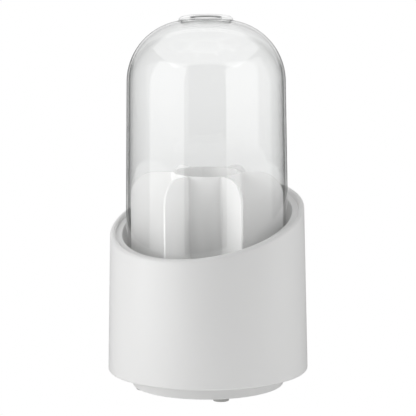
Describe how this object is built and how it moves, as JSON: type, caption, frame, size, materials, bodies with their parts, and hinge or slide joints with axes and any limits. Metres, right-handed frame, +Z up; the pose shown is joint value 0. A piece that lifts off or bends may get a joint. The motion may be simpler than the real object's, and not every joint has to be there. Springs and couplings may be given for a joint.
{
  "type": "rotating cosmetic brush holder",
  "caption": "Rotating cosmetic-brush holder: a slant-rimmed white cup on a turntable foot, a lift-out radial divider and a clear lift-off dome with a hole in its crown.",
  "frame": {"origin": "on the table, under the centre of the turntable", "axes": "+Z up along the turntable's axis, -Y towards the low side of the slanted rim, +X to the right of it"},
  "size_m": [0.12, 0.12, 0.2236],
  "materials": {
    "cup_plastic": "satin-gloss white moulding",
    "divider_plastic": "satin white moulding",
    "dome_plastic": "polished clear plastic",
    "foot_plastic": "satin white moulding",
    "cage_plastic": "natural plain moulding",
    "pad_rubber": "soft pale grey rubber",
    "ball_steel": "polished",
    "screw_steel": "zinc plated"
  },
  "bodies": {
    "foot": {"foot_disc": "foot_plastic", "foot_pad_1": "pad_rubber", "foot_pad_2": "pad_rubber", "foot_pad_3": "pad_rubber", "foot_pad_4": "pad_rubber"},
    "cage": {"ball_cage": "cage_plastic", "ball_1": "ball_steel", "ball_2": "ball_steel", "ball_3": "ball_steel", "ball_4": "ball_steel", "ball_5": "ball_steel", "ball_6": "ball_steel", "ball_7": "ball_steel", "ball_8": "ball_steel", "ball_9": "ball_steel", "ball_10": "ball_steel", "ball_11": "ball_steel", "ball_12": "ball_steel"},
    "cup": {"base_shell": "cup_plastic", "pivot_washer": "screw_steel", "pivot_screw": "screw_steel"},
    "divider": {"divider_insert": "divider_plastic"},
    "dome": {"dome_cover": "dome_plastic"}
  },
  "joints": [
    {"name": "cup_spin", "type": "hinge", "parent": "foot", "child": "cup", "pos_m": [0, 0, 0.0076], "axis": [0, 0, 1], "continuous": true},
    {"name": "cage_spin", "type": "hinge", "parent": "foot", "child": "cage", "pos_m": [0, 0, 0.0076], "axis": [0, 0, 1], "continuous": true},
    {"name": "divider_lift", "type": "slide", "parent": "cup", "child": "divider", "axis": [0, 0, 1], "range_m": [0, 0.13]},
    {"name": "dome_lift", "type": "slide", "parent": "divider", "child": "dome", "axis": [0, 0, 1], "range_m": [0, 0.14]}
  ],
  "couplings": [
    {"joint": "cage_spin", "follows": "cup_spin", "ratio": 0.5}
  ]
}
